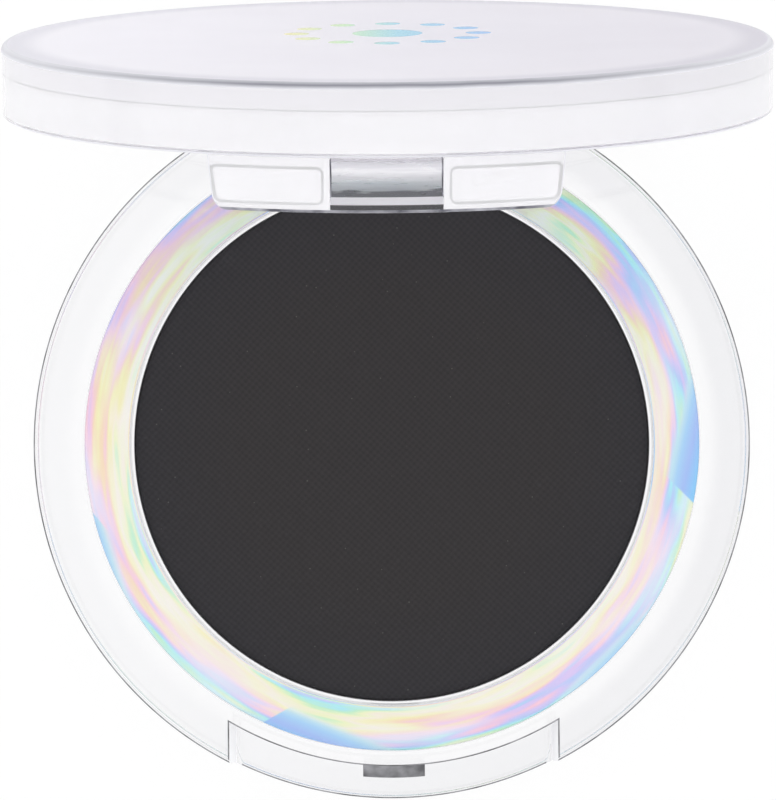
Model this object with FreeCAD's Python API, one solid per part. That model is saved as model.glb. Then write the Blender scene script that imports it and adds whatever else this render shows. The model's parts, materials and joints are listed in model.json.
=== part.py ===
"""A round clear compact: a pan of pressed eyeshadow over a shimmer disc, and a hinged snap lid.

Millimetres, +Z up.  The base stands on Z = 0 with its centre on the Z axis, the snap tab faces -Y
and the hinge is at +Y.  The lid is drawn closed and then turned open to the resting angle.
"""
import FreeCAD
import Part
import math
import os

Vector = FreeCAD.Vector
ORIGIN = Vector(0, 0, 0)
UP = Vector(0, 0, 1)
FORWARD = Vector(0, -1, 0)
ACROSS = Vector(1, 0, 0)

# Pan of powder: the driving sizes of the whole compact
pan_radius = 13.48
pan_height = 3.55
pan_wall = 0.2
pan_floor = 0.2
pan_bend = 0.6
powder_fit = 0.02
powder_inset = 0.3
powder_edge = 0.18
adhesive_thickness = 0.12
adhesive_margin = 3.0

# Thin film of air under each piece that is stuck to the clear plastic
hair_gap = 0.02

# Shimmer disc and paper label stuck under the clear base
shimmer_ring_width = 2.52
shimmer_thickness = 0.3
label_thickness = 0.1
label_margin = 0.3
label_inset = 0.2
disc_fit = 0.1

# Clear base moulding
well_fit = 0.05
floor_thickness = 1.4
pan_inset = 0.18
foot_width = 2.4
foot_round = 0.35
recess_round = 0.1
base_edge_round = 0.3
rim_bevel = 0.12
well_round = 0.12

# Clear lid moulding
parting_gap = 0.1
lid_headroom = 2.1
lid_top_thickness = 1.4
lid_edge_round = 0.3
lid_lower_round = 0.2
lid_inner_round = 0.3
rest_opening = 80.0

# Snap tab of the lid and the notch of the base that takes it
tab_half_width = 8.1
tab_depth = 2.4
tab_inset = 0.15
tab_corner_round = 0.7
tab_draft_deg = 6.0
notch_depth = 1.85
notch_back_gap = 0.25
notch_side_gap = 0.4
notch_floor_gap = 0.2
notch_corner_round = 0.4
pocket_half_width = 2.5
pocket_height = 1.95
pocket_round = 1.3
lip_height = 0.66
window_rib = 0.28
window_frame = 0.28
window_side = 0.2
window_height = 1.75
window_wall = 0.7
window_round = 0.35

# Snap bead on the wall of the notch
bead_half_width = 1.6
bead_height = 0.7
bead_face = 0.25
bead_rise = 0.9
bead_fit = 0.15
snap_bite = 0.1
catch_gap = 0.08

# Hinge
hinge_setback = 1.0
hinge_drop = 0.05
knuckle_radius = 1.3
knuckle_round = 0.2
lid_knuckle_length = 6.0
lug_length = 2.2
knuckle_gap = 0.15
hinge_clearance = 0.2
knuckle_core = 1.0
pin_radius = 0.5
pin_clearance = 0.05
pin_press_gap = 0.01
pin_end_gap = 0.1
pin_inset = 0.15

# Plain dotted rosette of foil on the lid
rosette_radius = 4.4
rosette_towards_hinge = 2.3
rosette_dots = 12
dot_radius = 0.62
middle_dot_radius = 1.7
rosette_recess = 0.12
foil_thickness = 0.06

# Heights that follow from the stack of pieces
shimmer_z = label_inset + label_thickness
recess_z = shimmer_z + shimmer_thickness + hair_gap
well_floor_z = recess_z + floor_thickness
adhesive_z = well_floor_z + hair_gap
pan_bottom_z = adhesive_z + adhesive_thickness
pan_rim_z = pan_bottom_z + pan_height
parting_z = pan_rim_z + pan_inset
skirt_z = parting_z + parting_gap
lid_inner_z = parting_z + lid_headroom
lid_top_z = lid_inner_z + lid_top_thickness

# Radii that follow from the pan outwards
well_radius = pan_radius + well_fit
shimmer_radius = pan_radius + shimmer_ring_width
recess_radius = shimmer_radius + disc_fit
case_radius = recess_radius + foot_width
notch_radius = case_radius - notch_depth
skirt_radius = notch_radius + notch_back_gap

# Snap tab places
tab_radius = case_radius - tab_inset
tab_bottom_z = parting_z - tab_depth
notch_floor_z = tab_bottom_z - notch_floor_gap
lip_top_z = tab_bottom_z + lip_height
pocket_top_z = lip_top_z + pocket_height
bead_bottom_z = lip_top_z + catch_gap
bead_radius = notch_radius + bead_height
pocket_radius = bead_radius + bead_fit
lip_radius = bead_radius - snap_bite
window_radius = tab_radius - window_wall
draft_slope = math.tan(math.radians(tab_draft_deg))

# Hinge places
hinge_y = case_radius + hinge_setback
hinge_z = parting_z - hinge_drop
hinge_point = Vector(0, hinge_y, hinge_z)
lug_inner_x = lid_knuckle_length / 2 + knuckle_gap
lug_outer_x = lug_inner_x + lug_length
relief_radius = knuckle_radius + hinge_clearance
pin_inner_x = knuckle_core / 2 + pin_end_gap
pin_outer_x = lug_outer_x - pin_inset

# How far cutting shapes reach past the material they cut
reach = 2.0


def outline(corners):
    """A closed wire in the XZ plane through corners given as (x, z, corner round)."""
    points = [Vector(x, 0, z) for x, z, corner_round in corners]
    count = len(points)
    starts = []
    ends = []
    arcs = []
    for index, corner in enumerate(points):
        size = corners[index][2]
        if size <= 0:
            starts.append(corner)
            ends.append(corner)
            arcs.append(None)
            continue
        back = (points[index - 1] - corner).normalize()
        onward = (points[(index + 1) % count] - corner).normalize()
        half_angle = back.getAngle(onward) / 2
        trim = size / math.tan(half_angle)
        towards_middle = (back + onward).normalize()
        middle = corner + towards_middle * (size / math.sin(half_angle) - size)
        starts.append(corner + back * trim)
        ends.append(corner + onward * trim)
        arcs.append(Part.Arc(starts[-1], middle, ends[-1]).toShape())
    edges = []
    for index in range(count):
        if arcs[index]:
            edges.append(arcs[index])
        following = (index + 1) % count
        if ends[index].distanceToPoint(starts[following]) > 1e-6:
            edges.append(Part.makeLine(ends[index], starts[following]))
    return Part.Wire(edges)


def spun(corners):
    """A solid turned about the Z axis from (radius, height, corner round) corners."""
    return Part.Face(outline(corners)).revolve(ORIGIN, UP, 360)


def front_prism(corners):
    """An outline seen from the front, run from the Z axis past the front of the case."""
    return Part.Face(outline(corners)).extrude(FORWARD * (case_radius + reach))


def front_block(half_width):
    """A tall block at the front of the compact, centred on X = 0."""
    corner = Vector(-half_width, -case_radius - reach, -reach)
    return Part.makeBox(2 * half_width, case_radius + reach, lid_top_z + 2 * reach, corner)


def ring(inner_radius, outer_radius, low_z, high_z, outer_top_round=0.0):
    """A round band between two radii and two heights."""
    return spun([
        (inner_radius, low_z, 0),
        (outer_radius, low_z, 0),
        (outer_radius, high_z, outer_top_round),
        (inner_radius, high_z, 0),
    ])


def disc(radius, low_z, thickness):
    """A flat round disc on the Z axis."""
    return Part.makeCylinder(radius, thickness, Vector(0, 0, low_z), UP)


def hinge_rod(radius, start_x, end_x):
    """A round rod on the hinge axis between two places along X."""
    low_x = min(start_x, end_x)
    return Part.makeCylinder(radius, abs(end_x - start_x), Vector(low_x, hinge_y, hinge_z), ACROSS)


def softened_rod(radius, start_x, end_x):
    """A hinge rod with rounded end edges."""
    rod = hinge_rod(radius, start_x, end_x)
    round_edges = [edge for edge in rod.Edges if isinstance(edge.Curve, Part.Circle)]
    return rod.makeFillet(knuckle_round, round_edges)


def hinge_web(start_x, end_x, inner_y, low_z, high_z):
    """A block that joins a hinge knuckle to the wall in front of it."""
    low_x = min(start_x, end_x)
    corner = Vector(low_x, inner_y, low_z)
    return Part.makeBox(abs(end_x - start_x), hinge_y - inner_y, high_z - low_z, corner)


def drafted_tongue(half_width, low_z, corner_round):
    """The front outline shared by the tab and its notch: drafted sides, rounded lower corners."""
    high_z = parting_z + reach
    low_half = half_width - (parting_z - low_z) * draft_slope
    high_half = half_width + (high_z - parting_z) * draft_slope
    return [
        (-low_half, low_z, corner_round),
        (low_half, low_z, corner_round),
        (high_half, high_z, 0),
        (-high_half, high_z, 0),
    ]


def make_base_shell():
    """The clear base: pan well, label recess, front notch with its snap bead, and two hinge lugs."""
    shell = spun([
        (0, recess_z, 0),
        (recess_radius, recess_z, recess_round),
        (recess_radius, 0, foot_round),
        (case_radius, 0, base_edge_round),
        (case_radius, parting_z - rim_bevel, 0),
        (case_radius - rim_bevel, parting_z, 0),
        (well_radius, parting_z, well_round),
        (well_radius, well_floor_z, 0),
        (0, well_floor_z, 0),
    ])
    notch = front_prism(drafted_tongue(tab_half_width + notch_side_gap, notch_floor_z, notch_corner_round))
    notch = notch.cut(disc(notch_radius, -reach, lid_top_z + 2 * reach))
    shell = shell.cut(notch)
    bead = spun([
        (notch_radius - bead_height, bead_bottom_z, 0),
        (bead_radius, bead_bottom_z, 0),
        (bead_radius, bead_bottom_z + bead_face, 0),
        (notch_radius, bead_bottom_z + bead_rise, 0),
        (notch_radius - bead_height, bead_bottom_z + bead_rise, 0),
    ])
    shell = shell.fuse(bead.common(front_block(bead_half_width)))
    shell = shell.cut(hinge_rod(relief_radius, -lug_inner_x, lug_inner_x))
    for side in (-1, 1):
        lug = softened_rod(knuckle_radius, side * lug_inner_x, side * lug_outer_x)
        low_z = hinge_z - knuckle_radius
        web = hinge_web(side * lug_inner_x, side * lug_outer_x, notch_radius, low_z, parting_z)
        shell = shell.fuse(lug).fuse(web)
    for side in (-1, 1):
        bore_radius = pin_radius + pin_press_gap
        shell = shell.cut(hinge_rod(bore_radius, side * pin_inner_x, side * (lug_outer_x + reach)))
    return shell.removeSplitter()


def make_hinge_pin(side):
    """A short steel pin pressed into one lug and running in the lid's knuckle."""
    return hinge_rod(pin_radius, side * pin_inner_x, side * pin_outer_x)


def make_pan():
    """The tin pan that holds the powder."""
    return spun([
        (0, pan_bottom_z, 0),
        (pan_radius, pan_bottom_z, pan_bend),
        (pan_radius, pan_rim_z, 0),
        (pan_radius - pan_wall, pan_rim_z, 0),
        (pan_radius - pan_wall, pan_bottom_z + pan_floor, pan_bend - pan_wall),
        (0, pan_bottom_z + pan_floor, 0),
    ])


def make_powder():
    """The pressed cake that fills the pan to just below its rim."""
    radius = pan_radius - pan_wall - powder_fit
    low_z = pan_bottom_z + pan_floor
    high_z = pan_rim_z - powder_inset
    return spun([
        (0, low_z, 0),
        (radius, low_z, pan_bend - pan_wall),
        (radius, high_z - powder_edge, 0),
        (radius - powder_edge, high_z, 0),
        (0, high_z, 0),
    ])


def make_tab():
    """The snap tab: a curved tongue with a pocket and lip for the bead and a cored window on each side."""
    tongue = front_prism(drafted_tongue(tab_half_width, tab_bottom_z, tab_corner_round))
    tab = ring(skirt_radius, tab_radius, tab_bottom_z, skirt_z + parting_gap).common(tongue)
    cut_radius = skirt_radius - reach
    middle = front_block(pocket_half_width)
    pocket = ring(cut_radius, pocket_radius, lip_top_z, pocket_top_z, pocket_round)
    lead = ring(cut_radius, lip_radius, tab_bottom_z - reach, lip_top_z)
    tab = tab.cut(pocket.common(middle)).cut(lead.common(middle))
    low_z = tab_bottom_z + window_frame
    high_z = low_z + window_height
    near_x = pocket_half_width + window_rib
    low_x = tab_half_width - (tab_depth - window_frame) * draft_slope - window_side
    high_x = low_x + window_height * draft_slope
    for side in (-1, 1):
        window = front_prism([
            (side * near_x, low_z, window_round),
            (side * low_x, low_z, window_round),
            (side * high_x, high_z, window_round),
            (side * near_x, high_z, window_round),
        ])
        tab = tab.cut(window.common(ring(cut_radius, window_radius, low_z - reach, high_z + reach)))
    return tab


def rosette_places():
    """Centre and radius of each foil dot on the closed lid, seen from above."""
    places = [(0.0, rosette_towards_hinge, middle_dot_radius)]
    for index in range(rosette_dots):
        turn = 2 * math.pi * index / rosette_dots
        x = rosette_radius * math.sin(turn)
        y = rosette_towards_hinge + rosette_radius * math.cos(turn)
        places.append((x, y, dot_radius))
    return places


def opened(shape):
    """A lid piece turned from closed to the resting angle."""
    turned = shape.copy()
    turned.rotate(hinge_point, ACROSS, -rest_opening)
    return turned


def make_lid_shell():
    """The clear lid: top plate, skirt, snap tab and the middle hinge knuckle."""
    lid = spun([
        (0, lid_inner_z, 0),
        (skirt_radius, lid_inner_z, lid_inner_round),
        (skirt_radius, skirt_z, 0),
        (case_radius, skirt_z, lid_lower_round),
        (case_radius, lid_top_z, lid_edge_round),
        (0, lid_top_z, 0),
    ])
    lid = lid.fuse(make_tab())
    for side in (-1, 1):
        relief_start = side * lid_knuckle_length / 2
        lid = lid.cut(hinge_rod(relief_radius, relief_start, side * (lug_outer_x + knuckle_gap)))
    half_length = lid_knuckle_length / 2
    knuckle = softened_rod(knuckle_radius, -half_length, half_length)
    web = hinge_web(-half_length, half_length, skirt_radius, skirt_z, hinge_z + knuckle_radius)
    cavity = disc(skirt_radius, skirt_z, lid_inner_z - skirt_z - lid_inner_round)
    lid = lid.fuse(knuckle.fuse(web.cut(cavity)))
    for side in (-1, 1):
        bore_radius = pin_radius + pin_clearance
        lid = lid.cut(hinge_rod(bore_radius, side * knuckle_core / 2, side * (half_length + reach)))
    for x, y, radius in rosette_places():
        place = Vector(x, y, lid_top_z - rosette_recess)
        lid = lid.cut(Part.makeCylinder(radius, rosette_recess + reach, place, UP))
    return opened(lid.removeSplitter())


def make_rosette():
    """The foil dots pressed into the lid's shallow recesses."""
    dots = []
    for x, y, radius in rosette_places():
        place = Vector(x, y, lid_top_z - rosette_recess + hair_gap)
        dots.append(opened(Part.makeCylinder(radius, foil_thickness, place, UP)))
    return Part.makeCompound(dots)


pieces = {
    "base_shell": make_base_shell(),
    "shimmer_disc": disc(shimmer_radius, shimmer_z, shimmer_thickness),
    "bottom_label": disc(shimmer_radius - label_margin, label_inset, label_thickness),
    "pan_adhesive": disc(pan_radius - adhesive_margin, adhesive_z, adhesive_thickness),
    "powder_pan": make_pan(),
    "pressed_powder": make_powder(),
    "hinge_pin_left": make_hinge_pin(-1),
    "hinge_pin_right": make_hinge_pin(1),
    "lid_shell": make_lid_shell(),
    "lid_rosette": make_rosette(),
}

os.makedirs("parts", exist_ok=True)
for node, shape in pieces.items():
    shape.exportStep("parts/" + node + ".step")
    box = shape.BoundBox
    print(node, shape.isValid(), len(shape.Solids), round(shape.Volume, 2),
          [round(value, 2) for value in (box.XMin, box.YMin, box.ZMin, box.XMax, box.YMax, box.ZMax)])
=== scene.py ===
"""Dresses a round clear compact with one pan of pressed eyeshadow and sets it on a plain white stage.

Metres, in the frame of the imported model: +Z up, the snap tab towards -Y, the hinge at +Y, the lid open.
Shapes are drawn in millimetres, the lid closed, and brought to metres and to the resting angle at the end.
"""
import json
import math
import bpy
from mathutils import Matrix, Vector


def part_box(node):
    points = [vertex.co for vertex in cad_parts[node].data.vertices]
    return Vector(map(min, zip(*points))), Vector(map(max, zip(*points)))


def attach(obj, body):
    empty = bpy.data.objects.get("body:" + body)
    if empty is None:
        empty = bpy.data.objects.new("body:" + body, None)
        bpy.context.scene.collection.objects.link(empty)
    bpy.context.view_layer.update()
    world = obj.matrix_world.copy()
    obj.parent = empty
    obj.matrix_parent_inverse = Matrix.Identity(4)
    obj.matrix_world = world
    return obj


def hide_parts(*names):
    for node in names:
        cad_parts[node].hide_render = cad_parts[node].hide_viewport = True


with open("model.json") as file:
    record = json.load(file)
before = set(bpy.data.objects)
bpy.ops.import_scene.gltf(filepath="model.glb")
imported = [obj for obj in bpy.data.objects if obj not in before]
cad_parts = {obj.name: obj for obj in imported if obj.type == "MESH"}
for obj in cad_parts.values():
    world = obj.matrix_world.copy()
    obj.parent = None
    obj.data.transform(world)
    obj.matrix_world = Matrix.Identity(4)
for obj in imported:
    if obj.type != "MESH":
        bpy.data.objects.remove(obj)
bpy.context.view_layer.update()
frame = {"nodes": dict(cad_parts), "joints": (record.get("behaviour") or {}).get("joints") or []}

from types import SimpleNamespace

import bmesh
import bpy
from bpy.props import FloatProperty, FloatVectorProperty, PointerProperty
from mathutils import Matrix, Vector

bl_info = {
    "name": "Round eyeshadow compact",
    "version": (1, 0, 0),
    "blender": (4, 5, 0),
    "location": "3D View > Sidebar > Compact",
    "description": "Shapes, finishes and stage of a clear round compact with a pan of pressed powder",
    "category": "Object",
}

MM = 0.001

# Steps around a turned shape and along a rounded corner
TURN_STEPS = 360
CORNER_STEPS = 6
# Steps around a hinge knuckle, a pin's bore or a foil dot
ROD_STEPS = 96
# Faces that meet at more than this angle keep a crisp edge
CRISP_ANGLE = math.radians(32)
# Finishes of the clear pieces, in the order of their material slots; parted and rolled paint grey lines of
# shade
CLEAR, PARTED_SHADE, ETCHED, SATIN, FROSTED, ROLLED_SHADE, MILKY = range(7)
# Points closer than this are one point, in millimetres
SAME_POINT = 1e-5
# How far a cutting shape reaches past what it cuts, in millimetres
REACH = 2.0
# The least step between two faces that would otherwise coincide, in millimetres
HAIR = 0.01
# How deep inside the wall a knuckle's web starts, in millimetres
WEB_ROOT = 0.4
STYRENE_IOR = 1.57
WHITE = (1, 1, 1, 1)

# The hinge, in metres, and the turn that closes the lid
HINGE = next(joint for joint in frame["joints"] if joint["name"] == "lid_hinge")
HINGE_POINT = Vector(HINGE["pos_m"])
HINGE_AXIS = HINGE_POINT / MM
CLOSING_TURN = Matrix.Rotation(math.radians(HINGE["range_deg"][0]), 4, Vector(HINGE["axis"]))


def corners_mm(node):
    """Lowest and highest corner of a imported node, in millimetres."""
    low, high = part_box(node)
    return low / MM, high / MM


PAN_LOW, PAN_HIGH = corners_mm("powder_pan")
POWDER_LOW, POWDER_HIGH = corners_mm("pressed_powder")
FILM_LOW, FILM_HIGH = corners_mm("shimmer_disc")
BASE_HIGH = corners_mm("base_shell")[1]
PIN_LOW, PIN_HIGH = corners_mm("hinge_pin_right")


def linear(hex_colour):
    """An sRGB hex colour as linear red, green, blue and a full alpha."""
    channels = []
    for start in (0, 2, 4):
        value = int(hex_colour[start:start + 2], 16) / 255
        low = value / 12.92
        high = ((value + 0.055) / 1.055) ** 2.4
        channels.append(low if value <= 0.04045 else high)
    return (*channels, 1.0)


def length(name, description, millimetres):
    """A length property with its default in millimetres."""
    return FloatProperty(name=name, description=description, default=millimetres * MM, unit="LENGTH")


def tint(name, description, hex_colour):
    """A colour property with an sRGB hex default."""
    return FloatVectorProperty(
        name=name, description=description, subtype="COLOR", size=4, default=linear(hex_colour))


class CompactSizes(bpy.types.PropertyGroup):
    """Sizes a user may change."""

    floor_thickness: length("Well floor", "Thickness of the clear floor under the pan", 1.4)
    hair_gap: length("Hair gap", "Film of air between the shimmer disc and the clear base", 0.02)
    disc_fit: length("Disc fit", "Clearance around the shimmer disc", 0.1)
    well_fit: length("Well fit", "Clearance around the pan", 0.05)
    well_round: length("Well round", "Round of the well's upper edge", 0.12)
    pan_wall: length("Pan wall", "Thickness of the pan's wall", 0.2)
    pan_inset: length("Pan inset", "How far the pan's rim lies below the top of the base", 0.18)
    rim_round: length("Rim round", "Round of the base's upper outer edge", 0.15)
    base_edge_round: length("Base edge round", "Round of the base's lower outer edge", 0.06)
    foot_round: length("Foot round", "Round of the foot along the label recess", 0.06)
    tab_half_width: length("Tab half width", "Half the width of the snap tab at the parting line", 8.1)
    tab_depth: length("Tab depth", "How far the snap tab reaches below the parting line", 2.4)
    tab_inset: length("Tab inset", "How far the tab lies behind the case's outer wall", 0.15)
    notch_depth: length("Notch depth", "Depth of the notch in the base's wall", 1.85)
    notch_back_gap: length("Notch back gap", "Room behind the tab in its notch", 0.25)
    notch_side_gap: length("Notch side gap", "Room beside the tab in its notch", 0.4)
    notch_floor_gap: length("Notch floor gap", "Room below the tab in its notch", 0.2)
    bead_half_width: length("Bead half width", "Half the length of the snap bead", 1.6)
    bead_height: length("Bead height", "How far the snap bead stands out", 0.7)
    bead_face: length("Bead face", "Height of the bead's upright face", 0.25)
    bead_rise: length("Bead rise", "Height of the bead where it meets the wall", 0.9)
    bead_fit: length("Bead fit", "Room in front of the bead in the tab's pocket", 0.15)
    catch_gap: length("Catch gap", "Play between the tab's lip and the bead", 0.08)
    snap_bite: length("Snap bite", "How far the lip reaches under the bead", 0.1)
    lip_height: length("Lip height", "Height of the tab's lip that snaps under the bead", 0.66)
    pocket_half_width: length("Pocket half width", "Half the width of the tab's pocket for the bead", 2.5)
    pocket_height: length("Pocket height", "Height of the tab's pocket", 1.95)
    pocket_round: length("Pocket round", "Round of the pocket's ceiling", 1.3)
    window_height: length("Window height", "Height of the hollow on each side of the tab", 1.75)
    window_frame: length("Window frame", "Width of the frame below the tab's hollows", 0.28)
    window_side: length("Window side", "Width of the frame at the tab's sides", 0.2)
    window_rib: length("Window rib", "Rib between the tab's pocket and its hollows", 0.28)
    window_wall: length("Window wall", "Wall in front of the tab's hollows", 0.7)
    window_round: length("Window round", "Round of the corners of the tab's hollows", 0.35)
    parting_gap: length("Parting gap", "Gap between the closed lid and the base", 0.1)
    edge_width: length("Edge width", "Width of the matt edge where the mould parts", 0.07)
    window_edge_width: length("Window edge width", "Width of the matt edge around the tab's hollows", 0.13)
    lid_headroom: length("Lid headroom", "Room between the base and the closed lid", 2.1)
    lid_top_thickness: length("Lid top thickness", "Thickness of the lid's top plate", 1.4)
    lid_edge_round: length("Lid edge round", "Round of the lid's upper outer edge", 0.3)
    knuckle_radius: length("Knuckle radius", "Radius of the hinge knuckles", 1.3)
    knuckle_gap: length("Knuckle gap", "Gap between hinge knuckles", 0.15)
    lid_knuckle_length: length("Lid knuckle length", "Length of the middle hinge knuckle", 6.0)
    lug_length: length("Lug length", "Length of each hinge lug of the base", 2.2)
    hinge_clearance: length("Hinge clearance", "Room around the hinge knuckles", 0.2)
    pin_press_gap: length("Pin press gap", "Air around a pin in its lug", 0.01)
    pin_clearance: length("Pin clearance", "Play around a pin in the lid's knuckle", 0.05)
    rosette_recess: length("Rosette recess", "Depth of the seats for the foil dots", 0.06)
    weave_pitch: length("Weave pitch", "Spacing of the cloth marks pressed into the powder", 0.26)
    camera_height: length("Camera height", "Height of the camera above the floor", 285.2)
    tab_draft: FloatProperty(
        name="Tab draft", description="Lean of the tab's sides", default=math.radians(6), subtype="ANGLE")


class CompactColours(bpy.types.PropertyGroup):
    """Colours a user may change."""

    powder: tint("Powder", "Colour of the pressed powder", "302E2F")
    powder_edge: tint("Powder edge", "Colour of the powder towards its edge", "2E2D30")
    clear_base: tint("Clear base", "Tint of the clear base", "FBFBFC")
    # Painted shade: greys the clear base towards its outer wall and to the right
    deep_clear: tint("Deep clear", "Tint of the clear base along its outer wall", "F1F1F3")
    clear_lid: tint("Clear lid", "Tint of the clear lid", "FEFEFF")
    etched_plastic: tint("Etched plastic", "Colour of the etched inside of the lid", "FFFEFF")
    frosted_plastic: tint("Frosted plastic", "Colour of the lid's frosted face", "F6F5F9")
    film_white: tint("Film white", "Palest colour of the shimmer film", "FFFDFB")
    tin: tint("Tin", "Colour of the pan", "F2F2F2")
    paper: tint("Paper", "Colour of the label under the base", "F1F0EC")
    tape: tint("Tape", "Colour of the tape under the pan", "E9E6DA")
    steel: tint("Steel", "Colour of the hinge pins", "B9BABD")
    floor: tint("Floor", "Colour of the floor", "F6F6F6")


def in_millimetres(sizes):
    """The sizes as numbers in millimetres, angles as they are, and the places that follow from these."""
    values = {}
    for item in sizes.bl_rna.properties:
        if item.type == "FLOAT":
            scale = 1 / MM if item.unit == "LENGTH" else 1
            values[item.identifier] = getattr(sizes, item.identifier) * scale
    at = SimpleNamespace(**values)
    at.recess_z = FILM_HIGH.z + at.hair_gap
    at.recess_radius = FILM_HIGH.x + at.disc_fit
    at.well_radius = PAN_HIGH.x + at.well_fit
    at.well_floor = at.recess_z + at.floor_thickness
    at.parting = PAN_HIGH.z + at.pan_inset
    at.case_radius = BASE_HIGH.x
    at.notch_radius = at.case_radius - at.notch_depth
    at.bead_radius = at.notch_radius + at.bead_height
    at.tab_bottom = at.parting - at.tab_depth
    at.tab_radius = at.case_radius - at.tab_inset
    at.notch_floor = at.tab_bottom - at.notch_floor_gap
    at.lip_top = at.tab_bottom + at.lip_height
    at.window_radius = at.tab_radius - at.window_wall
    at.window_near_x = at.pocket_half_width + at.window_rib
    slope = math.tan(at.tab_draft)
    at.window_low_x = at.tab_half_width - (at.tab_depth - at.window_frame) * slope - at.window_side
    at.window_high_x = at.window_low_x + at.window_height * slope
    # Height of the clear edge below the etched lip, and the rounds of the tab's and the lid's other edges
    at.lip_shade = 0.28
    at.tab_edge_round = 0.15
    at.lower_round = 0.2
    at.inner_round = 0.3
    at.skirt_z = at.parting + at.parting_gap
    at.skirt_radius = at.notch_radius + at.notch_back_gap
    at.lid_inner = at.parting + at.lid_headroom
    at.lid_top = at.lid_inner + at.lid_top_thickness
    at.lid_half_knuckle = at.lid_knuckle_length / 2
    at.lug_inner = at.lid_half_knuckle + at.knuckle_gap
    at.lug_outer = at.lug_inner + at.lug_length
    at.relief_radius = at.knuckle_radius + at.hinge_clearance
    at.pin_radius = (PIN_HIGH.z - PIN_LOW.z) / 2
    return at


def round_corners(shape, points, corners):
    """Rounds each point of a wire or a face by the last number of its corner."""
    for point, corner in zip(points, corners):
        if corner[2] > 0:
            bmesh.ops.bevel(shape, geom=[point], offset=corner[2], segments=CORNER_STEPS, profile=0.5,
                            affect="VERTICES", material=-1)


def turned(corners, closed=False):
    """A shape turned about the Z axis from a wire through (radius, height, corner round) corners."""
    shape = bmesh.new()
    points = [shape.verts.new((radius, 0, height)) for radius, height, corner_round in corners]
    for first, second in zip(points, points[1:]):
        shape.edges.new((first, second))
    if closed:
        shape.edges.new((points[-1], points[0]))
    round_corners(shape, points, corners)
    wire = shape.verts[:] + shape.edges[:]
    bmesh.ops.spin(shape, geom=wire, cent=(0, 0, 0), axis=(0, 0, 1), angle=2 * math.pi, steps=TURN_STEPS,
                   use_merge=True)
    bmesh.ops.remove_doubles(shape, verts=shape.verts, dist=SAME_POINT)
    bmesh.ops.recalc_face_normals(shape, faces=shape.faces)
    return scratch(shape)


def front_prism(corners):
    """An outline seen from the front as (x, height, corner round), run from the axis out past the case."""
    shape = bmesh.new()
    points = [shape.verts.new((x, 0, height)) for x, height, corner_round in corners]
    shape.faces.new(points)
    round_corners(shape, points, corners)
    grown = bmesh.ops.extrude_face_region(shape, geom=shape.faces[:])
    moved = [part for part in grown["geom"] if isinstance(part, bmesh.types.BMVert)]
    bmesh.ops.translate(shape, verts=moved, vec=(0, -BASE_HIGH.x - REACH, 0))
    bmesh.ops.recalc_face_normals(shape, faces=shape.faces)
    return scratch(shape)


def block(low, high):
    """A box between two corners."""
    shape = bmesh.new()
    bmesh.ops.create_cube(shape, size=1.0)
    bmesh.ops.scale(shape, vec=Vector(high) - Vector(low), verts=shape.verts)
    bmesh.ops.translate(shape, vec=(Vector(high) + Vector(low)) / 2, verts=shape.verts)
    return scratch(shape)


def front_block(half_width, low_z, high_z):
    """A block at the front of the compact, centred on X = 0."""
    return block((-half_width, -BASE_HIGH.x - REACH, low_z), (half_width, 0, high_z))


def band(inner_radius, outer_radius, low_z, high_z, lower_round=0.0, upper_round=0.0):
    """A round band between two radii and two heights, with its outer edges rounded."""
    return turned([
        (inner_radius, low_z, 0),
        (outer_radius, low_z, lower_round),
        (outer_radius, high_z, upper_round),
        (inner_radius, high_z, 0),
    ], closed=True)


def hinge_rod(radius, start_x, end_x, end_round=0.0):
    """A round rod on the hinge axis, with its end edges rounded."""
    shape = bmesh.new()
    bmesh.ops.create_cone(shape, cap_ends=True, segments=ROD_STEPS, radius1=radius, radius2=radius,
                          depth=abs(end_x - start_x))
    if end_round > 0:
        ends = [face for face in shape.faces if len(face.verts) > 4]
        rims = [edge for face in ends for edge in face.edges]
        bmesh.ops.bevel(shape, geom=rims, offset=end_round, segments=CORNER_STEPS, profile=0.5,
                        affect="EDGES", material=-1)
    bmesh.ops.rotate(shape, cent=(0, 0, 0), matrix=Matrix.Rotation(math.pi / 2, 3, "Y"), verts=shape.verts)
    middle = HINGE_AXIS + Vector(((start_x + end_x) / 2, 0, 0))
    bmesh.ops.translate(shape, vec=middle, verts=shape.verts)
    return scratch(shape)


def scratch(shape):
    """Puts a shape in a scene object, for cutting and joining."""
    mesh = bpy.data.meshes.new("scratch")
    shape.to_mesh(mesh)
    shape.free()
    holder = bpy.data.objects.new("scratch", mesh)
    bpy.context.scene.collection.objects.link(holder)
    return holder


def combine(target, tool, operation):
    """Cuts a scratch object with another, joins the two or keeps what they share."""
    modifier = target.modifiers.new("combine", "BOOLEAN")
    modifier.operation = operation
    modifier.solver = "EXACT"
    modifier.object = tool
    graph = bpy.context.evaluated_depsgraph_get()
    result = bpy.data.meshes.new_from_object(target.evaluated_get(graph))
    target.modifiers.clear()
    old_meshes = (target.data, tool.data)
    target.data = result
    bpy.data.objects.remove(tool)
    for mesh in old_meshes:
        bpy.data.meshes.remove(mesh)
    return target


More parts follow.
